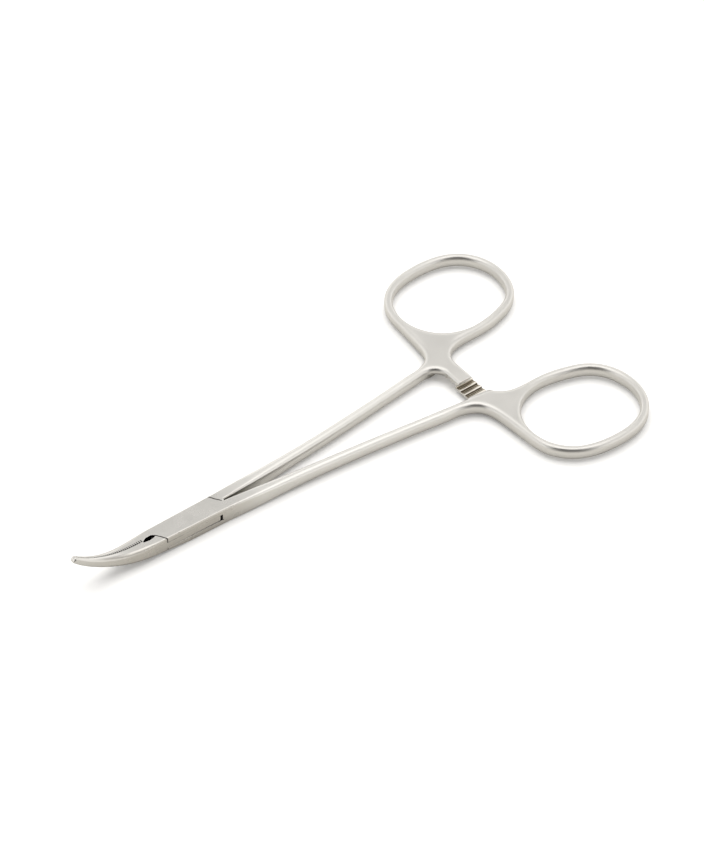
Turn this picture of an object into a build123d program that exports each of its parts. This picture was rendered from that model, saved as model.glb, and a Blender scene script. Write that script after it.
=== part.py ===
from build123d import *
import os
from math import atan2, cos, degrees, pi, radians, sin, sqrt

os.makedirs("parts", exist_ok=True)

# Mosquito forceps, closed, lying on its box lock. Millimetres.
# Origin: on the pivot axis at the flat underside of the box lock.
# +X runs from the pivot to the finger rings, +Z up; the jaw tips curve up at -X.
# The instrument is drawn about the plane Y = 0, where the two jaws meet.

# Overall sizes; the sizes below add up to a length of 125
box_thickness = 3.9
mid_height = box_thickness / 2

# Box lock
box_front_x = -8.6
box_rear_x = 8.6
box_front_half_width = 2.32
box_rear_half_width = 2.62
box_edge_radius = 0.35
underside_taper_x = -1.5
front_underside_z = 0.65
bottom_wall_thickness = 1.3
top_wall_thickness = 1.1
slide_clearance = 0.03
insert_tilt_gap = 0.09
seam_gap = 0.2
slot_end_radius = 7.1
insert_end_radius = 6.55
insert_front_inset = 0.01
insert_rear_inset = 0.08
root_gap = 0.08

# Front edge of the box walls in plan, on the near side, from the side face in to the jaw line
seam_plan_points = [(-6.15, -2.95), (-6.55, -2.25), (-6.85, -1.75), (-7.2, -1.1), (-7.6, -0.55)]
seam_end_x = -8.05

# Opening between the jaw roots, in plan
root_opening_points = [
    (-10.98, -0.24),
    (-10.60, 0.13),
    (-10.00, 0.43),
    (-9.20, 0.50),
    (-8.40, 0.33),
    (-8.06, -0.12),
    (-9.00, -0.52),
    (-9.70, -0.60),
    (-10.45, -0.48),
]

# Pivot pin
pin_radius = 1.1
pin_running_clearance = 0.04

# Jaws: distance from the tip side of the box, then a circular arc curving up
bend_start_x = -12.0
bend_radius = 22.5
bend_end_angle = 40.8
jaw_root_height = 3.1
jaw_tip_height = 1.2
jaw_tip_round = 0.42
# angle on the arc, half width, corner radius
jaw_arc_sections = [
    (0.0, 2.28, 0.75),
    (10.0, 1.85, 0.85),
    (20.0, 1.34, 0.80),
    (30.0, 0.97, 0.62),
    (bend_end_angle, 0.70, 0.50),
]

# Serrations across the mating faces
tooth_pitch = 0.5
far_tooth_depth = 0.40
far_tooth_width = 0.37
near_tooth_depth = 0.12
near_tooth_width = 0.25
tooth_taper = 0.45
tip_relief = 0.01
serration_start_x = -11.4
root_relief = 0.045

# Shanks: x, centre y, width, bottom z, height, corner radius
shank_sections = [
    (8.6, 1.37, 2.50, 0.00, 3.90, 0.35),
    (14.0, 1.78, 2.50, 0.10, 3.70, 0.50),
    (22.0, 2.34, 2.25, 0.32, 3.26, 0.65),
    (33.0, 3.22, 2.05, 0.48, 2.94, 0.78),
    (45.0, 4.43, 1.95, 0.52, 2.86, 0.78),
    (58.0, 5.97, 1.95, 0.52, 2.86, 0.78),
]

# Finger rings
ring_height = 2.86
ring_bottom = 0.52
ring_band_width = 1.76
ring_edge_radius = 0.78
ring_centre = (84.14, 21.69)
# harmonic terms of the oval centre line: x cos, x sin, y cos, y sin
ring_oval = [
    (12.84, -0.64, 0.15, 12.19),
    (-0.78, 0.34, -0.33, -0.54),
    (0.59, 0.36, -0.35, 0.95),
]

# Web between shank, ring and ratchet bar
web_outer_points = [(62.7, 7.42), (64.9, 8.0), (66.8, 9.15), (68.0, 11.2), (68.55, 14.0), (68.85, 17.4)]
web_inner_points = [(78.2, 9.42), (76.2, 9.28), (74.4, 8.80), (72.9, 7.85), (71.85, 6.5)]
web_bar_corner_y = 4.6

# Ratchet bars, both drawn on the +Y side: side faces, fillet into the shank, free end,
# and the line where the bar's lowered half meets the full height of the web
lower_bar_left_x = 67.45
lower_bar_right_x = 71.8
lower_bar_fillet = 1.8
lower_bar_end_y = 0.3
lower_bar_root = [(65.9, 5.9), (74.0, 7.05)]
upper_bar_left_x = 67.5
upper_bar_right_x = 71.3
upper_bar_fillet = 3.2
upper_bar_end_y = -1.35
upper_bar_root = [(64.2, 5.72), (74.0, 7.05)]
ratchet_tooth_pitch = 1.5
ratchet_tooth_depth = 0.45
ratchet_tooth_flank = 0.14
ratchet_tooth_crest = 0.12
lower_tooth_count = 3
upper_tooth_count = 3
lower_lead_in = (0.3, 0.3)
upper_lead_in = (1.1, 1.0)
ratchet_split = 1.95
ratchet_play = 0.04


def jaw_height(angle):
    return jaw_root_height + (jaw_tip_height - jaw_root_height) * angle / bend_end_angle


def arc_point(angle, depth):
    turn = radians(angle)
    reach = bend_radius + depth
    return (bend_start_x - reach * sin(turn), 0.0, box_thickness + bend_radius - reach * cos(turn))


def section_plane(angle, x=None):
    turn = radians(angle)
    origin = arc_point(angle, 0.0)
    if x is not None:
        origin = (x, 0.0, box_thickness)
    return Plane(origin=origin, x_dir=(0, 1, 0), z_dir=(-cos(turn), 0, sin(turn)))


def jaw_section(plane, half_width, height, radius, inner):
    with BuildSketch(plane) as section:
        with BuildLine():
            Polyline((inner, height), (inner, 0), (half_width - radius, 0))
            RadiusArc((half_width - radius, 0), (half_width, radius), -radius)
            Line((half_width, radius), (half_width, height - radius))
            RadiusArc((half_width, height - radius), (half_width - radius, height), -radius)
            Line((half_width - radius, height), (inner, height))
        make_face()
    return section.sketch.face()


def shank_section(x, y, width, bottom, height, radius, slope):
    turn = atan2(slope, 1)
    plane = Plane(origin=(x, y, bottom + height / 2), x_dir=(-sin(turn), cos(turn), 0), z_dir=(cos(turn), sin(turn), 0))
    with BuildSketch(plane) as section:
        RectangleRounded(width, height, radius)
    return section.sketch.face()


def ring_point(angle, offset=0.0):
    x, y = ring_centre
    dx, dy = 0.0, 0.0
    for order, (xc, xs, yc, ys) in enumerate(ring_oval, start=1):
        c = cos(order * angle)
        s = sin(order * angle)
        x += xc * c + xs * s
        y += yc * c + ys * s
        dx += order * (xs * c - xc * s)
        dy += order * (ys * c - yc * s)
    size = sqrt(dx * dx + dy * dy)
    return (x + offset * dy / size, y - offset * dx / size), (dx / size, dy / size)


def face_offset(angle):
    """How far the tooth crests stand back from the jaw line, least at the tip."""
    share = 1 - angle / bend_end_angle
    return tip_relief + (root_relief - tip_relief) * share


def make_jaw():
    """The +Y jaw from the box lock to the tip, before its serrations are cut."""
    root = section_plane(0.0, box_front_x)
    root_height = box_thickness - front_underside_z
    sections = [jaw_section(root, box_front_half_width, root_height, box_edge_radius, face_offset(0.0))]
    for angle, half_width, radius in jaw_arc_sections:
        plane = section_plane(angle)
        sections.append(jaw_section(plane, half_width, jaw_height(angle), radius, face_offset(angle)))
    with BuildPart() as jaw:
        loft(sections)
        tip_face = jaw.faces().sort_by(Axis.X)[0]
        nose = tip_face.edges().filter_by(lambda edge: edge.center().Y > 0.05)
        fillet(nose, jaw_tip_round)
    return jaw.part


def make_grooves(phase, root_depth, width):
    """Radial V grooves across the mating face of the +Y jaw, shallower towards the tip."""
    step = degrees(tooth_pitch / (bend_radius + 1.2))
    first = degrees((bend_start_x - serration_start_x) / (bend_radius + 1.2))
    count = int((bend_end_angle - 0.5 - first) / step)
    grooves = []
    for index in range(count):
        angle = first + (index + phase) * step
        turn = radians(angle)
        crest = face_offset(max(angle, 0.0))
        depth = root_depth * (1 - tooth_taper * max(angle, 0.0) / bend_end_angle)
        plane = Plane(origin=arc_point(angle, -1.0), x_dir=(-cos(turn), 0, sin(turn)),
                      z_dir=(-sin(turn), 0, -cos(turn)))
        half = width / 2
        with BuildPart() as groove:
            with BuildSketch(plane):
                with BuildLine():
                    Polyline((-half, crest - 0.3), (-half, crest), (0, crest + depth), (half, crest),
                             (half, crest - 0.3), close=True)
                make_face()
            extrude(amount=jaw_height(max(angle, 0.0)) + 2)
        grooves.append(groove.part)
    return grooves


def make_shank():
    """The +Y shank, from the box lock to the start of the handle."""
    sections = []
    count = len(shank_sections)
    for index, row in enumerate(shank_sections):
        before = shank_sections[max(index - 1, 0)]
        after = shank_sections[min(index + 1, count - 1)]
        slope = (after[1] - before[1]) / (after[0] - before[0])
        if index == 0:
            slope = 0.0
        sections.append(shank_section(*row, slope))
    with BuildPart() as shank:
        loft(sections)
    return shank.part


def make_handle(bar_left_x, bar_right_x, bar_end_y, bar_fillet):
    """The +Y finger ring, its web and the full-height blank of its ratchet bar."""
    end = shank_sections[-1]
    before = shank_sections[-2]
    slope = (end[1] - before[1]) / (end[0] - before[0])
    along = Vector(1, slope).normalized()
    across = Vector(-along.Y, along.X)
    middle = Vector(end[0], end[1])
    outer_start = middle + across * (end[2] / 2)
    inner_start = middle - across * (end[2] / 2)
    outer_bend = outer_start + along * 2.4
    corner = inner_start + along * ((bar_left_x - inner_start.X) / along.X)
    half_band = ring_band_width / 2
    ring_join = pi + 0.05
    ring_leave = -2.02
    steps = 14
    ring_outer = []
    for k in range(steps + 1):
        angle = ring_join + (ring_leave - ring_join) * k / steps
        ring_outer.append(ring_point(angle, half_band)[0])
    ring_inner = [ring_point(2 * pi * k / 16, -half_band)[0] for k in range(16)]
    blank_end_y = bar_end_y - 1.5
    bar_side = web_bar_corner_y - blank_end_y
    bar_side_points = [(bar_right_x, web_bar_corner_y - bar_side * k / 4) for k in range(5)]
    with BuildPart() as handle:
        with BuildSketch(Plane.XY.offset(ring_bottom)):
            with BuildLine():
                Line(outer_start, outer_bend)
                Spline(outer_bend, *web_outer_points, *ring_outer, *web_inner_points, *bar_side_points,
                       tangents=[along, (0, -1)], tangent_scalars=[1, 1])
                Line((bar_right_x, blank_end_y), (bar_left_x, blank_end_y))
                FilletPolyline((bar_left_x, blank_end_y), corner, inner_start, radius=bar_fillet)
                Line(inner_start, outer_start)
            make_face()
            with BuildLine():
                Spline(*ring_inner, periodic=True)
            make_face(mode=Mode.SUBTRACT)
        extrude(amount=ring_height)
        rims = handle.edges().group_by(Axis.Z)[0] + handle.edges().group_by(Axis.Z)[-1]
        long_rims = []
        for edge in rims:
            at_shank = abs((edge.center() - Vector(end[0], end[1], edge.center().Z)).length) < 0.05
            at_bar = abs(edge.center().Y - blank_end_y) < 0.001
            if not at_shank and not at_bar:
                long_rims.append(edge)
        fillet(long_rims, ring_edge_radius)
        with Locations((bar_left_x, bar_end_y - 5.0, mid_height)):
            Box(20.0, 10.0, 10.0, mode=Mode.SUBTRACT)
    return handle.part


def seam_points():
    """Front edge of the box walls on the near side, from the side face up to the jaw line."""
    return [*seam_plan_points, (seam_end_x, -root_gap / 2)]


def front_region(gap):
    """Plan of everything ahead of the front seam and on the near side of the jaw line."""
    edge = [(x - gap, y) for x, y in seam_points()]
    return [*edge, (-12.0, -root_gap / 2), (-12.0, -6.0), (edge[0][0], -6.0)]


def turned(points):
    return [(-x, -y) for x, y in points]


def plan_block(points, bottom, top):
    with BuildPart() as block:
        with BuildSketch(Plane.XY.offset(bottom)):
            with BuildLine():
                Polyline(*points, close=True)
            make_face()
        extrude(amount=top - bottom)
    return block.part


def box_blank():
    """Outer form of the box lock, wider towards the shanks; its underside rises towards the jaws."""
    share = (underside_taper_x - box_front_x) / (box_rear_x - box_front_x)
    taper_half_width = box_front_half_width + (box_rear_half_width - box_front_half_width) * share
    sections = [
        (box_front_x, box_front_half_width, front_underside_z),
        (underside_taper_x, taper_half_width, 0.0),
        (box_rear_x, box_rear_half_width, 0.0),
    ]
    with BuildPart() as box:
        for x, half_width, bottom in sections:
            height = box_thickness - bottom
            with BuildSketch(Plane.YZ.offset(x)):
                with Locations((0, bottom + height / 2)):
                    RectangleRounded(2 * half_width, height, box_edge_radius)
        loft(ruled=True)
    return box.part


def slot_void():
    """The slot through the female half: a drum about the pivot and the two mouths of the slot."""
    bottom = bottom_wall_thickness
    top = box_thickness - top_wall_thickness
    mouth = [(0.0, -root_gap / 2), (-9.5, -root_gap / 2), (-9.5, -6.0), (0.0, -6.0)]
    with BuildPart() as void:
        with Locations((0, 0, (bottom + top) / 2)):
            Cylinder(slot_end_radius, top - bottom)
        add(plan_block(mouth, bottom, top))
        add(plan_block(turned(mouth), bottom, top))
    return void.part


def insert_tongue():
    """The thin middle of the male half that passes through the slot."""
    bottom = bottom_wall_thickness + slide_clearance
    top = box_thickness - top_wall_thickness - slide_clearance
    front = box_front_half_width - insert_front_inset
    rear = box_rear_half_width - insert_rear_inset
    profile = [(box_front_x, bottom), (box_rear_x, bottom + insert_tilt_gap), (box_rear_x, top),
               (box_front_x, top - insert_tilt_gap)]
    sides = [(box_front_x, -front), (box_rear_x, -rear), (box_rear_x, rear), (box_front_x, front)]
    root = [(0.0, -root_gap / 2), (-8.4, -root_gap / 2), (-8.4, -6.0), (0.0, -6.0)]
    with BuildPart() as tongue:
        with Locations((0, 0, (bottom + top) / 2)):
            Cylinder(insert_end_radius, top - bottom)
        add(plan_block(root, bottom, top))
        add(plan_block(turned(root), bottom, top))
        add(plan_block(sides, bottom, top), mode=Mode.INTERSECT)
        with BuildSketch(Plane.XZ):
            with BuildLine():
                Polyline(*profile, close=True)
            make_face()
        extrude(amount=6.0, both=True, mode=Mode.INTERSECT)
        with Locations((0, 0, mid_height)):
            Cylinder(pin_radius + pin_running_clearance, box_thickness, mode=Mode.SUBTRACT)
    return tongue.part


def root_opening():
    """The small open corner between the two jaws just ahead of the box."""
    with BuildPart() as opening:
        with BuildSketch(Plane.XY.offset(-1.0)):
            with BuildLine():
                Spline(*root_opening_points, periodic=True)
            make_face()
        extrude(amount=box_thickness + 2)
    return opening.part


def ratchet_cut(root, bar_end_y, lead_in, crest_z, valley_z, far_z, tooth_count):
    """What is taken off the bar blank: the half of its height it does not use, with teeth.

    The steep face of each tooth looks back to the bar's root, so closing slides and opening holds.
    A lead-in slope at the free end, lead_in long and high, lets the bars ride over each other.
    """
    lead_length, lead_height = lead_in
    lead_z = crest_z + lead_height * (1 if valley_z > crest_z else -1)
    points = [(bar_end_y - 1.0, far_z), (bar_end_y - 1.0, lead_z), (bar_end_y, lead_z)]
    points.append((bar_end_y + lead_length, crest_z))
    for index in range(tooth_count):
        y = bar_end_y + lead_length + ratchet_tooth_pitch * index
        points.append((y + ratchet_tooth_crest, crest_z))
        points.append((y + ratchet_tooth_crest + ratchet_tooth_flank, valley_z))
        points.append((y + ratchet_tooth_pitch, crest_z))
    left, right = root
    points.append((right[1] + 1.0, crest_z))
    points.append((right[1] + 1.0, far_z))
    plan = [left, right, (right[0], bar_end_y - 2.0), (left[0], bar_end_y - 2.0)]
    with BuildPart() as cut:
        with BuildSketch(Plane.YZ.offset(left[0])):
            with BuildLine():
                Polyline(*points, close=True)
            make_face()
        extrude(amount=right[0] - left[0])
        add(plan_block(plan, -2.0, 8.0), mode=Mode.INTERSECT)
    return cut.part


lower_crest = ratchet_split - ratchet_play / 2
upper_crest = ratchet_split + ratchet_play / 2
lower_valley = lower_crest - ratchet_tooth_depth
upper_valley = upper_crest + ratchet_tooth_depth
lower_cut = ratchet_cut(lower_bar_root, lower_bar_end_y, lower_lead_in, lower_crest, lower_valley, 6.0,
                        lower_tooth_count)
upper_cut = ratchet_cut(upper_bar_root, upper_bar_end_y, upper_lead_in, upper_crest, upper_valley, -1.0,
                        upper_tooth_count)
lower_handle_blank = make_handle(lower_bar_left_x, lower_bar_right_x, lower_bar_end_y, lower_bar_fillet)
upper_handle_blank = make_handle(upper_bar_left_x, upper_bar_right_x, upper_bar_end_y, upper_bar_fillet)
shank_blank = make_shank()
jaw_blank = make_jaw()
female_grooves = make_grooves(0.4, far_tooth_depth, far_tooth_width)
male_grooves = make_grooves(0.9, near_tooth_depth, near_tooth_width)
box_body = box_blank()
front_cut = plan_block(front_region(0.0), -1.0, 6.0)
rear_cut = plan_block(turned(front_region(0.0)), -1.0, 6.0)
front_shoulder = plan_block(front_region(seam_gap), -1.0, 6.0)
rear_shoulder = plan_block(turned(front_region(seam_gap)), -1.0, 6.0)
slot = slot_void()
tongue = insert_tongue()
opening = root_opening()

# Female half: far jaw, box walls, near shank and ring, lower ratchet bar
with BuildPart() as far_jaw:
    add(jaw_blank)
    add(female_grooves, mode=Mode.SUBTRACT)

with BuildPart() as lower_handle:
    add(lower_handle_blank)
    add(lower_cut, mode=Mode.SUBTRACT)

near_shank = mirror(shank_blank, about=Plane.XZ)
near_handle = mirror(lower_handle.part, about=Plane.XZ)

with BuildPart() as female_half:
    add(box_body)
    add([front_cut, rear_cut, slot], mode=Mode.SUBTRACT)
    with Locations((0, 0, mid_height)):
        Cylinder(pin_radius, box_thickness + 2, mode=Mode.SUBTRACT)
    add([far_jaw.part, near_shank, near_handle])
    add(opening, mode=Mode.SUBTRACT)

# Male half: near jaw, thin tongue, far shank and ring, upper ratchet bar
with BuildPart() as toothed_jaw:
    add(jaw_blank)
    add(male_grooves, mode=Mode.SUBTRACT)

with BuildPart() as upper_handle:
    add(upper_handle_blank)
    add(upper_cut, mode=Mode.SUBTRACT)

near_jaw = mirror(toothed_jaw.part, about=Plane.XZ)

with BuildPart() as male_half:
    add([front_shoulder, rear_shoulder])
    add(box_body, mode=Mode.INTERSECT)
    add([tongue, near_jaw, shank_blank, upper_handle.part])
    add(opening, mode=Mode.SUBTRACT)

# Pivot pin, flush with both faces of the box
with BuildPart() as pivot_pin:
    with Locations((0, 0, mid_height)):
        Cylinder(pin_radius, box_thickness)

female_half.part.label = "female_half"
male_half.part.label = "male_half"
pivot_pin.part.label = "pivot_pin"
export_step(female_half.part, "parts/female_half.step")
export_step(male_half.part, "parts/male_half.step")
export_step(pivot_pin.part, "parts/pivot_pin.step")
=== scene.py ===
# %% [markdown]
# # Curved mosquito forceps
#
# The forceps are a small locking clamp that a surgeon uses to close a blood vessel. They come here as
# three solids that are already right in shape: a female half, a male half that passes through a slot in
# it, and a flush pivot pin. This lesson photographs them. It sets up the camera and the white table, lights
# the steel, and then builds the one finish that the whole instrument has, a satin blast over stainless steel.
# All numbers are in metres, with the pivot axis at x = y = 0 and the table at z = 0.

import math

import bpy
import numpy as np
from mathutils import Matrix, Vector

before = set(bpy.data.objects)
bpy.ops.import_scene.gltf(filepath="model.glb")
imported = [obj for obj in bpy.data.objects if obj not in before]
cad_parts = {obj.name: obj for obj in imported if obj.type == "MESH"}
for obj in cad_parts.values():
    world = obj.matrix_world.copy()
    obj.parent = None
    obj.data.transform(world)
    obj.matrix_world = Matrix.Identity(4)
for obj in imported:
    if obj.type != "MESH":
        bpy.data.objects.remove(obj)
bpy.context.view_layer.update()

# %% [markdown]
# ## The camera
#
# The photograph was taken from the side of the near finger ring, looking down at about 43 degrees with a
# long lens, so the rings look hardly larger than they would from far away. A camera is easiest to place by
# a point that it looks at, two angles and a distance. The three axes of the camera are then worked out with
# cross products and put into its matrix as columns. A small turn about its own line of sight is added,
# because a hand-set camera is never quite level.

# %% Camera
LOOK_AT = Vector((0.045133, 0.005724, 0.0))
AZIMUTH = math.radians(-36.691)
ELEVATION = math.radians(43.417)
DISTANCE = 0.691433
ROLL = math.radians(-0.478)
LENS_MM = 142.89
SENSOR_MM = 36.0


def camera_axes(azimuth, elevation, roll):
    """Back points from the subject to the camera; right is level; up is back crossed with right.
    Roll then turns right and up about back."""
    back = Vector((math.sin(azimuth) * math.cos(elevation),
                   -math.cos(azimuth) * math.cos(elevation),
                   math.sin(elevation)))
    right = Vector((math.cos(azimuth), math.sin(azimuth), 0.0))
    up = back.cross(right)
    turned_right = math.cos(roll) * right + math.sin(roll) * up
    turned_up = math.cos(roll) * up - math.sin(roll) * right
    return turned_right, turned_up, back


right, up, back = camera_axes(AZIMUTH, ELEVATION, ROLL)
camera_data = bpy.data.cameras.new("studio_camera")
camera_data.lens = LENS_MM
camera_data.sensor_width = SENSOR_MM
camera_data.clip_start = 0.01
camera_data.clip_end = 50.0
camera = bpy.data.objects.new("studio_camera", camera_data)
bpy.context.scene.collection.objects.link(camera)
camera.matrix_world = Matrix((right, up, back)).transposed().to_4x4()
camera.location = LOOK_AT + DISTANCE * back
bpy.context.scene.camera = camera
print("camera stands at", [round(value, 4) for value in camera.location])

# %% [markdown]
# ## Small helpers for node materials
#
# A material in Blender is a graph of nodes. Five helpers keep the cells below short. One starts a material,
# one adds a node and sets its plain values, and one joins an output to an input. The last two reckon with
# numbers: a Math node, and a ramp that maps one span of values onto another.

# %% Node helpers
def new_material(name):
    """A material whose graph holds only its output, ready to be filled."""
    material = bpy.data.materials.new(name)
    material.use_nodes = True
    material.node_tree.nodes.clear()
    output = material.node_tree.nodes.new("ShaderNodeOutputMaterial")
    return material, material.node_tree, output


def add(tree, kind, settings=None, values=None):
    """Adds a node, sets its own settings, then sets unlinked sockets by name."""
    made = tree.nodes.new(kind)
    for name, value in (settings or {}).items():
        setattr(made, name, value)
    for name, value in (values or {}).items():
        made.inputs[name].default_value = value
    return made


def join(tree, source, target):
    """Joins an output socket to an input socket."""
    tree.links.new(source, target)


def maths(tree, operation, first, second=None):
    """A Math node on one or two sockets or numbers; gives its output socket."""
    made = add(tree, "ShaderNodeMath", {"operation": operation})
    for place, value in enumerate((first, second)):
        if value is None:
            continue
        if isinstance(value, (int, float)):
            made.inputs[place].default_value = value
        else:
            join(tree, value, made.inputs[place])
    return made.outputs[0]


def ramp(tree, source, low, high, low_value, high_value):
    """Maps a value straight from low..high onto low_value..high_value, held at both ends."""
    made = add(tree, "ShaderNodeMapRange", {"clamp": True},
               {"From Min": low, "From Max": high, "To Min": low_value, "To Max": high_value})
    join(tree, source, made.inputs["Value"])
    return made.outputs["Result"]


print("helpers for graphs:", [helper.__name__ for helper in (new_material, add, join, maths, ramp)])

# %% [markdown]
# ## The white table
#
# The forceps lie on a seamless white table, so white that only their shadow shows. In Blender a large flat
# disc with a very light matt colour does this. The last bit of brightness is an emission that only the
# camera sees, so that it whitens the picture without throwing light on the steel. Mirror-like rays meet a
# slightly duller and warmer white, which keeps the lower walls of the steel from glaring. From below the
# table is clear, so that the underside of the forceps can be looked at.

# %% White table
TABLE_RADIUS = 6.0
TABLE_DROP = 0.00002
RIM_POINTS = 96
TABLE_WHITE = (0.93, 0.93, 0.93, 1)
TABLE_IN_STEEL = (0.86, 0.85, 0.82, 1)
BACKGROUND_FILL = 0.13


def table_material():
    """Matt white, duller in mirror-like rays, plus a faint glow for the eye, and clear from below."""
    material, tree, output = new_material("white_table")
    path = add(tree, "ShaderNodeLightPath")
    colour = add(tree, "ShaderNodeMix", {"data_type": "RGBA"})
    join(tree, path.outputs["Is Glossy Ray"], colour.inputs["Factor"])
    colour.inputs["A"].default_value = TABLE_WHITE
    colour.inputs["B"].default_value = TABLE_IN_STEEL
    matt = add(tree, "ShaderNodeBsdfDiffuse")
    join(tree, colour.outputs["Result"], matt.inputs["Color"])
    glow = add(tree, "ShaderNodeEmission", values={"Color": (1, 1, 1, 1)})
    fill = maths(tree, "MULTIPLY", path.outputs["Is Camera Ray"], BACKGROUND_FILL)
    join(tree, fill, glow.inputs["Strength"])
    both = add(tree, "ShaderNodeAddShader")
    join(tree, matt.outputs[0], both.inputs[0])
    join(tree, glow.outputs[0], both.inputs[1])
    clear = add(tree, "ShaderNodeBsdfTransparent")
    side = add(tree, "ShaderNodeNewGeometry")
    pick = add(tree, "ShaderNodeMixShader")
    join(tree, side.outputs["Backfacing"], pick.inputs["Fac"])
    join(tree, both.outputs[0], pick.inputs[1])
    join(tree, clear.outputs[0], pick.inputs[2])
    join(tree, pick.outputs[0], output.inputs["Surface"])
    return material


# A point of the rim is the radius times the cosine and the sine of its angle, a hair below the forceps.
around = np.linspace(0, 2 * math.pi, RIM_POINTS, endpoint=False)
rim = np.stack([TABLE_RADIUS * np.cos(around), TABLE_RADIUS * np.sin(around),
                np.full(RIM_POINTS, -TABLE_DROP)], axis=1)
table_mesh = bpy.data.meshes.new("white_table")
table_mesh.from_pydata(rim.tolist(), [], [list(range(RIM_POINTS))])
table_mesh.materials.append(table_material())
table = bpy.data.objects.new("white_table", table_mesh)
bpy.context.scene.collection.objects.link(table)
print("the table is", TABLE_RADIUS * 2, "m across")

# %% [markdown]
# ## The studio round the table
#
# Polished steel shows the whole room, so the room matters more than the lamp. A picture of a real studio
# could be wrapped round the scene. A gradient over the height of a ray needs none, and each of its bands is
# one number that can be tuned. It is drawn for three kinds of ray, which a Light Path node tells apart. The
# light that it sheds on matt things is dim and even, the eye sees plain white, and mirror-like rays meet a
# bright sweep low down, a duller gap above that, and a bright ceiling.

# %% Studio
WORLD_TINT = (1.0, 0.99, 0.97, 1)
WORLD_LIGHT = 0.52
SWEEP_BRIGHTNESS = 1.5
GAP_BRIGHTNESS = 0.78
CEILING_BRIGHTNESS = 1.9
GAP_STARTS = (0.42, 0.62)
GAP_ENDS = (0.74, 0.88)

world = bpy.data.worlds.new("white_studio")
world.use_nodes = True
sky = world.node_tree
sky.nodes.clear()
surroundings = add(sky, "ShaderNodeBackground", values={"Color": WORLD_TINT})
direction = add(sky, "ShaderNodeSeparateXYZ")
join(sky, add(sky, "ShaderNodeTexCoord").outputs["Generated"], direction.inputs[0])
# The height of a ray of length one is the sine of the angle at which it rises.
rise = direction.outputs["Z"]
into_gap = ramp(sky, rise, *GAP_STARTS, SWEEP_BRIGHTNESS, GAP_BRIGHTNESS)
out_of_gap = ramp(sky, rise, *GAP_ENDS, 0.0, CEILING_BRIGHTNESS - GAP_BRIGHTNESS)
mirrored = maths(sky, "ADD", into_gap, out_of_gap)
path = add(sky, "ShaderNodeLightPath")
to_eye = maths(sky, "MAXIMUM", path.outputs["Is Camera Ray"], path.outputs["Is Transmission Ray"])
level = maths(sky, "ADD", maths(sky, "MULTIPLY", path.outputs["Is Glossy Ray"], mirrored), to_eye)
shed = maths(sky, "MULTIPLY", path.outputs["Is Diffuse Ray"], WORLD_LIGHT)
join(sky, maths(sky, "ADD", level, shed), surroundings.inputs["Strength"])
world_output = add(sky, "ShaderNodeOutputWorld")
join(sky, surroundings.outputs[0], world_output.inputs["Surface"])
bpy.context.scene.world = world
gap_angles = [round(math.degrees(math.asin(height))) for height in (GAP_STARTS[1], GAP_ENDS[0])]
print("the gap is dullest from", gap_angles[0], "to", gap_angles[1], "degrees above the level")

# %% [markdown]
# ## The soft box
#
# The shadows in the photograph are short and their borders are soft. A small lamp would draw them hard, and
# the world's even light alone would draw none. A large area lamp, high up behind the forceps, lights the
# table and lets a soft shadow fall towards the camera. The steel doesn't mirror it, because its sharp
# rectangle would show on the flat tops; the bright ceiling of the studio stands for it there.

# %% Soft box
SOFT_BOX_SIZE = (1.0, 0.8)
SOFT_BOX_HEIGHT = 0.75
SOFT_BOX_SETBACK = 0.20
SOFT_BOX_POWER = 6.2
SOFT_BOX_TINT = (1.0, 0.985, 0.96)


def soft_box(name, size, place, aim, power):
    """A rectangular lamp at place whose face looks at aim."""
    lamp = bpy.data.lights.new(name, "AREA")
    lamp.shape = "RECTANGLE"
    lamp.size, lamp.size_y = size
    lamp.energy = power
    lamp.color = SOFT_BOX_TINT
    made = bpy.data.objects.new(name, lamp)
    bpy.context.scene.collection.objects.link(made)
    made.location = place
    made.rotation_mode = "QUATERNION"
    made.rotation_quaternion = (Vector(aim) - Vector(place)).to_track_quat("-Z", "Y")
    made.visible_camera = False
    made.visible_glossy = False


away = Vector((-back.x, -back.y, 0)).normalized()
lamp_place = Vector((LOOK_AT.x, LOOK_AT.y, SOFT_BOX_HEIGHT)) + SOFT_BOX_SETBACK * away
soft_box("key_soft_box", SOFT_BOX_SIZE, lamp_place, LOOK_AT, SOFT_BOX_POWER)
print("soft box power per square metre", round(SOFT_BOX_POWER / (SOFT_BOX_SIZE[0] * SOFT_BOX_SIZE[1]), 2))

# %% [markdown]
# ## The cards that the steel mirrors
#
# Steel has no colour of its own to speak of. What the eye reads as steel is the room that it mirrors, and
# that needs darks as well as lights. Photographers stand cards round a shiny thing for this. Here two
# curved cards stand for the unlit side of the studio, where the photographer is: a dark one high up and a
# grey one below it. The dark one draws the soft dark streaks on the far rims of the rings and in the
# corners of the handles. The grey one keeps the flat tops from going black when they are seen from behind.
# Only mirror-like rays see the cards, so they cast no shadow.

# %% Cards
CARD_CENTRE = np.array([0.045, 0.006])
CARD_RADIUS = 0.95
CARD_COLUMNS = 32
CARD_HALF_WIDTH = 42
CARD_TINT = (1.0, 0.97, 0.93)
CARDS = {"camera_side_card": (30, 75, 0.03), "camera_side_low_card": (0.5, 30, 0.3)}
CAMERA_SIDE = math.degrees(math.atan2(back.y, back.x))


def card(name, corners, faces, grey):
    """A self-lit sheet that only mirror-like rays see."""
    mesh = bpy.data.meshes.new(name)
    mesh.from_pydata(corners.tolist(), [], faces.tolist())
    material, tree, output = new_material(name)
    tone = (*[grey * share for share in CARD_TINT], 1)
    paint = add(tree, "ShaderNodeEmission", values={"Color": tone, "Strength": 1.0})
    join(tree, paint.outputs[0], output.inputs["Surface"])
    mesh.materials.append(material)
    made = bpy.data.objects.new(name, mesh)
    bpy.context.scene.collection.objects.link(made)
    made.visible_camera = False
    made.visible_diffuse = False
    made.visible_shadow = False
    made.visible_transmission = False


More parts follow.
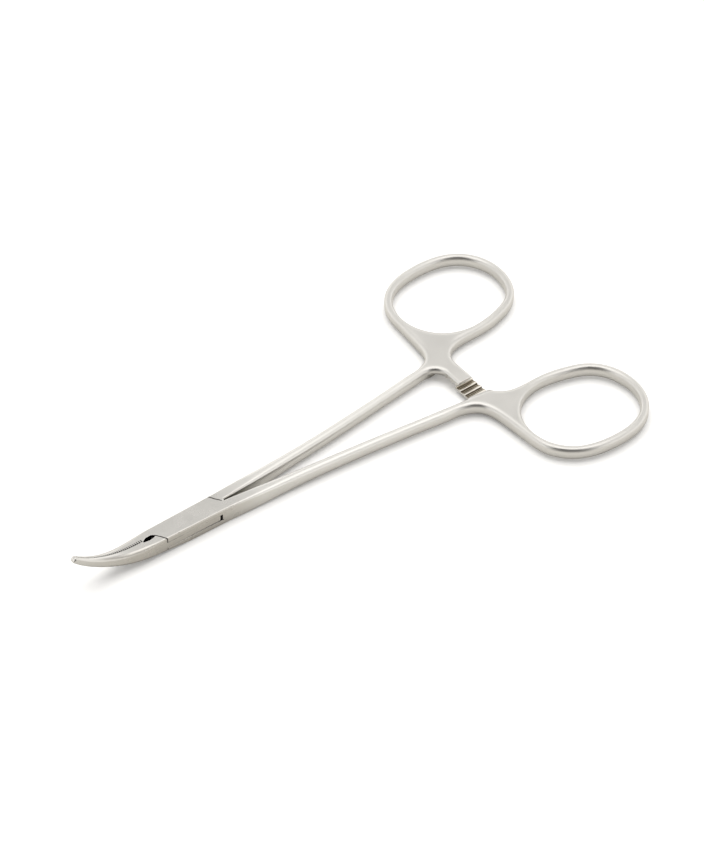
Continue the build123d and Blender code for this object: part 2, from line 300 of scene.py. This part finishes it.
def curved_card(name, middle, low_angle, high_angle, grey):
    """Part of an upright cylinder round the forceps. A point of it is the centre plus the radius along an
    angle within the half width of middle. Its height is the radius times the tangent of the angle at which
    it stands above the table, from low_angle to high_angle."""
    angles = np.radians(np.linspace(middle - CARD_HALF_WIDTH, middle + CARD_HALF_WIDTH, CARD_COLUMNS + 1))
    foot = CARD_CENTRE + CARD_RADIUS * np.stack([np.cos(angles), np.sin(angles)], axis=1)
    low, high = CARD_RADIUS * np.tan(np.radians([low_angle, high_angle]))
    corners = np.concatenate([np.column_stack([foot, np.full(CARD_COLUMNS + 1, low)]),
                              np.column_stack([foot, np.full(CARD_COLUMNS + 1, high)])])
    left = np.arange(CARD_COLUMNS)
    above = left + CARD_COLUMNS + 1
    card(name, corners, np.stack([left, left + 1, above + 1, above], axis=1), grey)


for card_name, (low_angle, high_angle, grey) in CARDS.items():
    curved_card(card_name, CAMERA_SIDE, low_angle, high_angle, grey)
    print(card_name, "reaches from", low_angle, "to", high_angle, "degrees above the table")

# %% [markdown]
# ## Steel tones and masks
#
# Surgical steel is blasted with fine glass beads after it is ground, which leaves an even, silky matt skin
# without glare. Some parts of it differ a little in tone: edges that handling has rubbed are brighter, the
# side walls of the box and the jaws are darker with painted shade, and the shanks are lighter with a painted
# highlight. A picture wrapped round the solids could carry such tones. Here each one is a mask worked out
# from the place of a point and the tilt of its face, which stays sharp at any size. A mask is one where its
# tone belongs and nought elsewhere, so masks are multiplied to narrow them down and then used to mix one
# colour over another.

# %% Steel tones and masks
STEEL = (0.61, 0.597, 0.572, 1)
RUBBED_STEEL = (0.80, 0.785, 0.755, 1)
# A painted highlight: the lighter steel of the shanks.
SHANK_HIGHLIGHT_STEEL = (0.69, 0.677, 0.65, 1)
# Painted shade: the darker steel of the side walls of the box and the jaws.
SIDE_SHADE_STEEL = (0.46, 0.44, 0.405, 1)


def colour_mix(tree, factor, first, second, blend="MIX"):
    """A colour Mix node; each colour is a socket or a plain value. Gives its output socket."""
    made = add(tree, "ShaderNodeMix", {"data_type": "RGBA", "blend_type": blend})
    for name, value in (("Factor", factor), ("A", first), ("B", second)):
        if isinstance(value, (int, float, tuple)):
            made.inputs[name].default_value = value
        else:
            join(tree, value, made.inputs[name])
    return made.outputs["Result"]


def product(tree, first, *others):
    """All the given sockets and numbers multiplied together; gives the last output socket."""
    for other in others:
        first = maths(tree, "MULTIPLY", first, other)
    return first


def window(tree, value, span, soft):
    """One where value lies within span, falling to nought over soft outside it."""
    rise = ramp(tree, value, span[0] - soft, span[0], 0.0, 1.0)
    fall = ramp(tree, value, span[1], span[1] + soft, 1.0, 0.0)
    return product(tree, rise, fall)


steel_tones = {"blasted": STEEL, "rubbed": RUBBED_STEEL, "shank": SHANK_HIGHLIGHT_STEEL, "side": SIDE_SHADE_STEEL}
for tone_name, tone in steel_tones.items():
    print(tone_name, "steel gives back", tone[0], "of the red light and", tone[2], "of the blue")

# %% [markdown]
# ## Edges, walls and shanks
#
# The box and the jaws are machined, so their edges are crisp. The shanks and rings are ground and polished by
# hand after forging, so their edges melt away. The solids already carry real fillets. The last softness is
# lent by a Bevel node, which turns the normals near an edge as if it were rounded: cheaper than more faces,
# and its radius can change along the forceps. The pin is riveted and then ground flush, and must not show, so
# all edge effects are kept off a circle round it.

# %% Edges, walls and shanks
BOX_ROUNDING = 0.00012
HANDLE_ROUNDING = 0.0016
ROUNDING_GROWS = (0.011, 0.024)
BAR_ROUNDING = 0.0003
BAR_ALONG = (0.0662, 0.0724)
BAR_ACROSS = (-0.0060, 0.0026)
PIN_REACH = (0.0013, 0.0015)
WALL_TILT = (0.12, 0.5)
WALLS_START = (-0.026, -0.015)
WALLS_END = (0.005, 0.016)
SHANK_ALONG = (0.018, 0.058)
SHANK_SOFT = 0.009


def away_from_pin(tree, along, across):
    """Nought over the pin and one elsewhere, by the distance from the pivot: the root of the sum of the
    squares of the two places."""
    square = maths(tree, "ADD", product(tree, along, along), product(tree, across, across))
    return ramp(tree, maths(tree, "SQRT", square), *PIN_REACH, 0.0, 1.0)


def edge_rounding(tree, along, across):
    """Radius in metres over which the edges look rounded: crisp at the box and the jaws, broad on the
    hand-polished shanks and rings, and fairly crisp again on the ratchet bars."""
    broad = ramp(tree, along, *ROUNDING_GROWS, BOX_ROUNDING, HANDLE_ROUNDING)
    bar = product(tree, window(tree, along, BAR_ALONG, 0.0003), window(tree, across, BAR_ACROSS, 0.0006))
    return maths(tree, "SUBTRACT", broad, product(tree, bar, HANDLE_ROUNDING - BAR_ROUNDING))


def side_wall_shade(tree, along, facing_out):
    """Painted shade: one on the side walls of the box and the jaws, coming in over their rounded edges and
    fading towards the tips; nought on the tops and along the handles."""
    wall = ramp(tree, maths(tree, "ABSOLUTE", facing_out), *WALL_TILT, 0.0, 1.0)
    fading = ramp(tree, along, *WALLS_START, 0.3, 1.0)
    return product(tree, wall, fading, ramp(tree, along, *WALLS_END, 1.0, 0.0))


def shank_highlight(tree, along, facing_up):
    """Painted highlight: one on the tops of the shanks and about a third on their sides."""
    crown = ramp(tree, facing_up, 0.2, 0.8, 0.3, 1.0)
    return product(tree, crown, window(tree, along, SHANK_ALONG, SHANK_SOFT))


print("edges look rounded over", round(BOX_ROUNDING * 1000, 2), "mm at the box")
print("edges look rounded over", round(HANDLE_ROUNDING * 1000, 2), "mm on the handles")

# %% [markdown]
# ## The joints of the box lock
#
# In a box lock one half is slotted and the other passes through the slot. The box is forged shut round it, so
# the joints are hairlines that polish and dust fill with black: the seam where the walls of the box end and
# the two long joints in its sides. Light alone would darken such narrow gaps, but at the size of a picture
# they are thinner than a dot of it. So the solids have the gaps, and paint beside them in the same dark brown
# makes them read. The small opening between the roots of the jaws is dark with shade, and its walls get
# painted shade in the same brown.

# %% Joints of the box lock
SEAM_BROWN = (0.035, 0.030, 0.026, 1)
SLOT_BOTTOM = 0.0013
SLOT_TOP = 0.0028
SLOT_ENDS = (-0.0064, 0.0068)
LOWER_JOINT = (SLOT_BOTTOM - 0.00002, SLOT_BOTTOM + 0.00017)
UPPER_JOINT = (SLOT_TOP - 0.00012, SLOT_TOP + 0.00001)
SEAM_LINE = [(-0.00009, 0.00815), (0.00055, 0.0077), (0.0011, 0.0073),
             (0.00175, 0.00695), (0.00225, 0.00665), (0.0028, 0.00632)]
SEAM_SPAN = (SEAM_LINE[0][0], SEAM_LINE[-1][0])
SEAM_REACH = (0.006, 0.0084)
SEAM_HALF_WIDTH = 0.00014
SEAM_SOFT = 0.00006
OPENING_ALONG = (-0.0111, -0.0079)
OPENING_ACROSS = (-0.0008, 0.0007)


def share_of(value, span):
    """How far value lies along span: nought at its start and one at its end."""
    return (value - span[0]) / (span[1] - span[0])


def seam_stain(tree, spot, facing_up):
    """One beside the two seams where the box walls end, and less on the end faces, which show when the
    forceps open. A seam's place along the forceps is read from a curve over its place across them; the rear
    seam is the front one turned half way round the pivot."""
    along, across, height = spot.outputs
    end = maths(tree, "SIGN", along)
    ahead = product(tree, along, end)
    inward = product(tree, across, end)
    curve = add(tree, "ShaderNodeFloatCurve")
    join(tree, ramp(tree, inward, *SEAM_SPAN, 0.0, 1.0), curve.inputs["Value"])
    line = curve.mapping.curves[0]
    shares = [(share_of(y, SEAM_SPAN), share_of(x, SEAM_REACH)) for y, x in SEAM_LINE]
    line.points[0].location = shares[0]
    line.points[1].location = shares[-1]
    for share in shares[1:-1]:
        line.points.new(*share)
    curve.mapping.update()
    seam = ramp(tree, curve.outputs[0], 0.0, 1.0, *SEAM_REACH)
    apart = maths(tree, "ABSOLUTE", maths(tree, "SUBTRACT", ahead, seam))
    beside = ramp(tree, apart, SEAM_HALF_WIDTH, SEAM_HALF_WIDTH + SEAM_SOFT, 1.0, 0.0)
    on_top = ramp(tree, height, SLOT_TOP - 0.00008, SLOT_TOP, 0.0, 1.0)
    outside = ramp(tree, facing_up, 0.3, 0.7, 0.4, 1.0)
    return product(tree, beside, window(tree, inward, SEAM_SPAN, 0.00001), on_top, outside)


def slot_stain(tree, spot, tilt):
    """One along the joints where the slot opens in the side walls of the box. The lower joint darkens
    towards the open end of the slot and the upper one towards the jaws, as the tongue lies a little askew."""
    along, across, height = spot.outputs
    run = product(tree, along, maths(tree, "SIGN", across), -1.0)
    side = ramp(tree, maths(tree, "ABSOLUTE", tilt.outputs["Y"]), 0.9, 0.98, 0.0, 1.0)
    lower = window(tree, height, LOWER_JOINT, 0.00004)
    lower = product(tree, lower, ramp(tree, run, -0.004, SLOT_ENDS[1], 0.1, 0.95))
    upper = window(tree, height, UPPER_JOINT, 0.00003)
    upper = product(tree, upper, ramp(tree, run, -0.006, -0.001, 0.75, 0.0))
    within = window(tree, run, SLOT_ENDS, 0.00003)
    return product(tree, maths(tree, "MAXIMUM", lower, upper), side, within)


def root_opening_shade(tree, along, across, facing_up):
    """Painted shade: one on the walls of the small opening between the roots of the jaws."""
    wall = ramp(tree, maths(tree, "ABSOLUTE", facing_up), 0.4, 0.8, 1.0, 0.0)
    return product(tree, window(tree, along, OPENING_ALONG, 0.0001),
                   window(tree, across, OPENING_ACROSS, 0.0001), wall)


print("the seam runs over", round((SEAM_SPAN[1] - SEAM_SPAN[0]) * 1000, 2), "mm of the width of the box")

# %% [markdown]
# ## The serrations
#
# Fine cross grooves in the mating faces stop a vessel from slipping out. Near the box they are deep and dark;
# towards the tips they get shallow and lighter. The grooves themselves are in the solids. The paint only
# follows them, with painted shade on their walls and on a fringe round them, and a painted highlight on the
# mating faces towards the tips. Because the jaws run along an arc, the place of a groove is an angle round
# the centre of that arc, and the grooves lie equal steps of angle apart. That is why the masks below work
# with an angle and not with a length.

# %% Serrations
# A painted highlight: lighter steel for the mating faces and shallow grooves near the tips.
SERRATION_HIGHLIGHT = (0.93, 0.91, 0.87, 1)
BEND_CENTRE = (-0.012, 0.0264)
GROOVE_PITCH = 0.0005
GROOVE_RADIUS = 0.0237
GROOVE_STEP = GROOVE_PITCH / GROOVE_RADIUS
FIRST_GROOVE = -0.0006 / GROOVE_RADIUS + 0.4 * GROOVE_STEP
TIP_ANGLE = 0.704
DART_LENGTH = 0.00068
DART_WIDTH = 0.72
CUT_FACING = (0.25, 0.45)


def along_jaw(tree, spot, tilt):
    """The angle that a point has run round the centre of the arc that the jaws follow, and a mask that is
    one on cut faces. The mask comes from how squarely a face looks to that centre: the tops of the jaws do,
    and the serrations and mating faces don't."""
    ahead = maths(tree, "SUBTRACT", BEND_CENTRE[0], spot.outputs["X"])
    above = maths(tree, "SUBTRACT", BEND_CENTRE[1], spot.outputs["Z"])
    facing = maths(tree, "ADD", product(tree, tilt.outputs["X"], ahead),
                   product(tree, tilt.outputs["Z"], above))
    facing = maths(tree, "ABSOLUTE", maths(tree, "DIVIDE", facing, BEND_CENTRE[1]))
    return maths(tree, "ARCTAN2", ahead, above), ramp(tree, facing, *CUT_FACING, 1.0, 0.0)


def serration_shade(tree, spot, tilt):
    """Painted shade: one on the walls of the serrations and on a thin fringe round them. The fringe is a row
    of darts, one to each groove. A dart's length is the greatest length less that length times the square of
    the distance off its centre over its half width, so it ends in a round point. It thins out towards the
    tip."""
    across = spot.outputs["Y"]
    angle, cut = along_jaw(tree, spot, tilt)
    slant = ramp(tree, maths(tree, "ABSOLUTE", tilt.outputs["Y"]), 0.6, 0.8, 1.0, 0.0)
    walls = product(tree, cut, slant, window(tree, across, (0.00002, 0.00045), 0.00002))
    steps = maths(tree, "DIVIDE", maths(tree, "SUBTRACT", angle, FIRST_GROOVE), GROOVE_STEP)
    off_centre = product(tree, maths(tree, "PINGPONG", steps, 0.5), 2.0)
    taper = maths(tree, "POWER", maths(tree, "DIVIDE", off_centre, DART_WIDTH), 2.0)
    greatest = ramp(tree, angle, 0.0, TIP_ANGLE, DART_LENGTH, DART_LENGTH * 0.45)
    reach = product(tree, greatest, maths(tree, "SUBTRACT", 1.0, taper))
    darts = ramp(tree, maths(tree, "SUBTRACT", reach, across), 0.0, 0.00003, 0.0, 1.0)
    darts = product(tree, darts, ramp(tree, across, -0.00006, -0.00003, 0.0, 1.0))
    fading = ramp(tree, angle, 0.25, 0.6, 1.0, 0.15)
    toothed = window(tree, angle, (FIRST_GROOVE - GROOVE_STEP * 1.5, TIP_ANGLE), 0.0005)
    jaw = ramp(tree, spot.outputs["X"], -0.0105, -0.0100, 1.0, 0.0)
    return product(tree, maths(tree, "MAXIMUM", walls, darts), fading, toothed, jaw)


def serration_highlight(tree, spot, tilt):
    """A painted highlight: one on the mating faces and the shallow grooves of the tips, which it lightens; it
    starts part of the way along the jaws, where the dark fringe begins to thin out."""
    angle, cut = along_jaw(tree, spot, tilt)
    between = window(tree, spot.outputs["Y"], (-0.0002, 0.00045), 0.00005)
    short_of_tip = ramp(tree, angle, TIP_ANGLE - 0.05, TIP_ANGLE - 0.02, 1.0, 0.0)
    return product(tree, cut, between, short_of_tip, ramp(tree, angle, 0.2, 0.5, 0.0, 1.0))


print("darts along each jaw:", int((TIP_ANGLE - FIRST_GROOVE) / GROOVE_STEP))

# %% [markdown]
# ## The ratchet
#
# The two bars between the handles carry slanted teeth that catch on each other. Their faces are cut, not
# blasted, so the crests shine, and the spaces between them hold brown residue in which the strokes of the
# cutter show as a few lighter lines. The residue lies between two heights, and the lines repeat at a fixed
# pitch across the bar, so both masks need only the place of a point.

# %% Ratchet
TOOTH_CREST = (0.80, 0.765, 0.70, 1)
TOOTH_BROWN = (0.12, 0.10, 0.072, 1)
TOOTH_TAN = (0.66, 0.60, 0.50, 1)
TOOTH_SPACE = (0.00142, 0.00180)
TOOTH_HEIGHT = (0.00142, 0.00247)
TOOTH_ALONG = (0.0672, 0.0722)
TOOTH_ACROSS = (0.0002, 0.0064)
TOOL_LINE_PITCH = 0.00047


def ratchet_zone(tree, along, across, height, facing_up):
    """One on the worked faces of the ratchet teeth, by where they lie and by their tilt."""
    return product(tree, window(tree, along, TOOTH_ALONG, 0.0001),
                   window(tree, maths(tree, "ABSOLUTE", across), TOOTH_ACROSS, 0.0001),
                   window(tree, height, TOOTH_HEIGHT, 0.00002),
                   ramp(tree, maths(tree, "ABSOLUTE", facing_up), 0.12, 0.2, 0.0, 1.0))


def tooth_residue(tree, across):
    """Brown with lighter lines: the place across the bar, folded back and forth over half the pitch, is
    near nought on a line's dark side and near half the pitch on its light side."""
    lines = maths(tree, "PINGPONG", across, TOOL_LINE_PITCH / 2)
    lines = ramp(tree, lines, TOOL_LINE_PITCH * 0.17, TOOL_LINE_PITCH * 0.33, 0.0, 1.0)
    return colour_mix(tree, lines, TOOTH_BROWN, TOOTH_TAN)


print("lighter lines lie", TOOL_LINE_PITCH * 1000, "mm apart in the spaces between the teeth")

# %% [markdown]
# ## Grain, rubbed edges and grooves
#
# Close up the steel has three scales of detail: a grain of about a tenth of a millimetre, soft clouds of
# slightly different sheen a few millimetres across, and edges that handling has rubbed. Grain and clouds are
# noise over the place of a point. Edges and grooves could be painted by hand. Two nodes find them by
# themselves: a Bevel node gives a slightly rounded normal, which differs from the true one only near an
# edge, and an Ambient Occlusion node tells how much of the sky a point sees, which is little in a groove.

# %% Grain, rubbed edges and grooves
RUBBED_WIDTH = 0.00016
GROOVE_WIDTH = 0.0007
MASK_SAMPLES = 6
GRAIN_SCALE = 7000.0
CLOUD_SCALE = 190.0
CLOUD_RANGE = (0.3, 0.7)


def noise(tree, place, scale, detail, roughness):
    """Noise over the place of a point; gives its grey output socket."""
    made = add(tree, "ShaderNodeTexNoise", values={"Scale": scale, "Detail": detail, "Roughness": roughness})
    join(tree, place, made.inputs["Vector"])
    return made.outputs["Fac"]


def parts_of(tree, vector):
    """A node whose three outputs are the parts of a vector."""
    made = add(tree, "ShaderNodeSeparateXYZ")
    join(tree, vector, made.inputs[0])
    return made


def rubbed_edges(tree, normal):
    """One along edges. The dot product of the normal and the rounded one is one where the face is flat and
    falls off beside an edge."""
    rounded = add(tree, "ShaderNodeBevel", {"samples": MASK_SAMPLES}, {"Radius": RUBBED_WIDTH})
    agreement = add(tree, "ShaderNodeVectorMath", {"operation": "DOT_PRODUCT"})
    join(tree, rounded.outputs[0], agreement.inputs[0])
    join(tree, normal, agreement.inputs[1])
    return ramp(tree, agreement.outputs["Value"], 0.985, 0.80, 0.0, 1.0)


def deep_grooves(tree):
    """One in grooves and corners, where the view from a point is mostly shut in by its own piece, and
    nought where it is mostly open."""
    seen = add(tree, "ShaderNodeAmbientOcclusion", {"samples": MASK_SAMPLES, "only_local": True},
               {"Distance": GROOVE_WIDTH})
    return ramp(tree, seen.outputs["AO"], 0.62, 0.22, 0.0, 1.0)


print("grain is about", round(1000 / GRAIN_SCALE, 2), "mm and clouds", round(1000 / CLOUD_SCALE, 1), "mm")

# %% [markdown]
# ## The colour of each point
#
# A finish looks right when its layers lie in the order in which they came about on the real thing. The metal
# comes first, by its zone, with a painted highlight on the shanks and painted shade on the side walls, and
# then its rubbed edges and the clouds. The teeth were cut after the blasting, so they cover all of those.
# Dirt came last and lies over everything, in the grooves, along the seams and along the slot. Painted shade
# lies beside the serrations and in the opening, and a painted highlight on the mating faces near the tips.
# Each layer is one mix over the one before.

# %% Colour of each point
GROOVE_BROWN = (0.115, 0.088, 0.066, 1)
CLOUD_TONES = (0.975, 1.015)
RUBBING_GROWS = (0.008, 0.016)
JAW_GROOVES_END = (-0.0125, -0.0105)


def metal_tone(tree, along, turn, clouds, edge):
    """The bare metal: blasted steel, then the painted highlight on the shanks, the painted shade on the side
    walls, the rubbed edges and the clouds.
    """
    tone = colour_mix(tree, shank_highlight(tree, along, turn.outputs["Z"]), STEEL, SHANK_HIGHLIGHT_STEEL)
    tone = colour_mix(tree, side_wall_shade(tree, along, turn.outputs["Y"]), tone, SIDE_SHADE_STEEL)
    rubbing = ramp(tree, along, *RUBBING_GROWS, 0.2, 0.55)
    tone = colour_mix(tree, product(tree, edge, rubbing), tone, RUBBED_STEEL)
    shade = add(tree, "ShaderNodeCombineColor")
    cloud_tone = ramp(tree, clouds, *CLOUD_RANGE, *CLOUD_TONES)
    for channel in ("Red", "Green", "Blue"):
        join(tree, cloud_tone, shade.inputs[channel])
    return colour_mix(tree, 1.0, tone, shade.outputs[0], "MULTIPLY")


def steel_tone(tree, metal, spot, tilt, groove, teeth):
    """The metal under its cut teeth, under the painted shade and highlight of the serrations, under the dirt
    in its grooves, seams and slot, and under the painted shade in the opening.
    """
    along, across, height = spot.outputs
    tone = colour_mix(tree, teeth, metal, TOOTH_CREST)
    residue = product(tree, teeth, window(tree, height, TOOTH_SPACE, 0.00004))
    tone = colour_mix(tree, residue, tone, tooth_residue(tree, across))
    dirt = product(tree, groove, ramp(tree, along, *JAW_GROOVES_END, 0.1, 0.85))
    tone = colour_mix(tree, dirt, tone, GROOVE_BROWN)
    # Painted shade: near-black brown on the serration walls and a fringe of darts round them.
    tone = colour_mix(tree, product(tree, serration_shade(tree, spot, tilt), 0.95), tone, SEAM_BROWN)
    # A painted highlight on the mating faces near the tips.
    tone = colour_mix(tree, serration_highlight(tree, spot, tilt), tone, SERRATION_HIGHLIGHT)
    # Painted shade: the walls of the opening between the roots of the jaws.
    opening = root_opening_shade(tree, along, across, tilt.outputs["Z"])
    tone = colour_mix(tree, product(tree, opening, 0.9), tone, SEAM_BROWN)
    seam = seam_stain(tree, spot, tilt.outputs["Z"])
    tone = colour_mix(tree, product(tree, seam, 0.8), tone, SEAM_BROWN)
    return colour_mix(tree, slot_stain(tree, spot, tilt), tone, SEAM_BROWN)


print("the clouds change the tone by", round((CLOUD_TONES[1] - CLOUD_TONES[0]) * 100, 1), "per cent")

# %% [markdown]
# ## Sheen and the way the light meets it
#
# Blasted steel is neither matt nor mirror: its reflections are there but blurred. Roughness sets how much.
# The handles are a little rougher than the box, which gives their reflections the soft borders of
# hand-polished wire; rubbed edges are smoother, and grooves and teeth are rougher. The grain is far too fine
# for real geometry, so a Bump node tilts the normals by it, after they have been rounded at the edges.

# %% Roughness and normal
CLOUD_SHEEN = 0.025
HANDLE_DULLING = 0.075
DULLING_GROWS = (0.010, 0.022)
ROUNDING_SAMPLES = 16
GRAIN_STRENGTH = 0.12
GRAIN_DEPTH = 0.00001


def steel_roughness(tree, along, clouds, edge, groove, teeth, sheen):
    """Roughness of each point: the sheen, give or take the clouds, smoother on rubbed edges, rougher in
    grooves, on the teeth and along the handles."""
    rough = ramp(tree, clouds, *CLOUD_RANGE, sheen - CLOUD_SHEEN, sheen + CLOUD_SHEEN)
    changes = (product(tree, edge, -0.05), product(tree, groove, 0.2), product(tree, teeth, 0.12),
               ramp(tree, along, *DULLING_GROWS, 0.0, HANDLE_DULLING))
    for change in changes:
        rough = maths(tree, "ADD", rough, change)
    return rough


def steel_normal(tree, along, across, unpinned, grain):
    """The normal that light meets: rounded at the edges, then roughened by the grain."""
    broad = add(tree, "ShaderNodeBevel", {"samples": ROUNDING_SAMPLES})
    join(tree, product(tree, edge_rounding(tree, along, across), unpinned), broad.inputs["Radius"])
    bump = add(tree, "ShaderNodeBump", values={"Strength": GRAIN_STRENGTH, "Distance": GRAIN_DEPTH})
    join(tree, grain, bump.inputs["Height"])
    join(tree, broad.outputs[0], bump.inputs["Normal"])
    return bump.outputs[0]


print("the grain is", round(GRAIN_DEPTH * 1000, 3), "mm deep, shown at a strength of", GRAIN_STRENGTH)

# %% [markdown]
# ## The satin steel, put together
#
# All three pieces come out of the same blasting cabinet, so one finish serves them all. It can, because every
# mask looks only at places and tilts and not at which piece it is on. One metal shader takes the colour, the
# roughness and the normal. The pin just gets a slightly smoother sheen, as it is ground flush after riveting.

# %% Satin steel
HALF_SHEEN = 0.27
PIN_SHEEN = 0.25


def satin_steel(name, sheen):
    """The whole finish: places and tilts first, then the masks, and then colour, roughness and normal."""
    material, tree, output = new_material(name)
    place = add(tree, "ShaderNodeTexCoord").outputs["Object"]
    shape = add(tree, "ShaderNodeNewGeometry")
    spot = parts_of(tree, place)
    tilt = parts_of(tree, shape.outputs["True Normal"])
    turn = parts_of(tree, shape.outputs["Normal"])
    along, across, height = spot.outputs

    grain = noise(tree, place, GRAIN_SCALE, 3.0, 0.6)
    clouds = noise(tree, place, CLOUD_SCALE, 4.0, 0.55)
    unpinned = away_from_pin(tree, along, across)
    edge = product(tree, rubbed_edges(tree, shape.outputs["Normal"]), unpinned)
    groove = product(tree, deep_grooves(tree), unpinned)
    teeth = ratchet_zone(tree, along, across, height, tilt.outputs["Z"])

    bare = metal_tone(tree, along, turn, clouds, edge)
    tone = steel_tone(tree, bare, spot, tilt, groove, teeth)
    rough = steel_roughness(tree, along, clouds, edge, groove, teeth, sheen)
    metal = add(tree, "ShaderNodeBsdfPrincipled", values={"Metallic": 1.0})
    join(tree, tone, metal.inputs["Base Color"])
    join(tree, rough, metal.inputs["Roughness"])
    join(tree, steel_normal(tree, along, across, unpinned, grain), metal.inputs["Normal"])
    join(tree, metal.outputs[0], output.inputs["Surface"])
    return material


half_finish = satin_steel("satin_steel_halves", HALF_SHEEN)
pin_finish = satin_steel("satin_steel_pin", PIN_SHEEN)
finishes = {"female_half": half_finish, "male_half": half_finish, "pivot_pin": pin_finish}
for node_name, finish in finishes.items():
    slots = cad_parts[node_name].material_slots
    for slot in slots:
        slot.material = finish
    print(node_name, "has", len(slots), "slot with", finish.name)

# %% [markdown]
# ## The picture's tones
#
# The Standard view writes each tone as it is worked out, which suits a product picture on white.

# %% View
bpy.context.scene.view_settings.view_transform = "Standard"
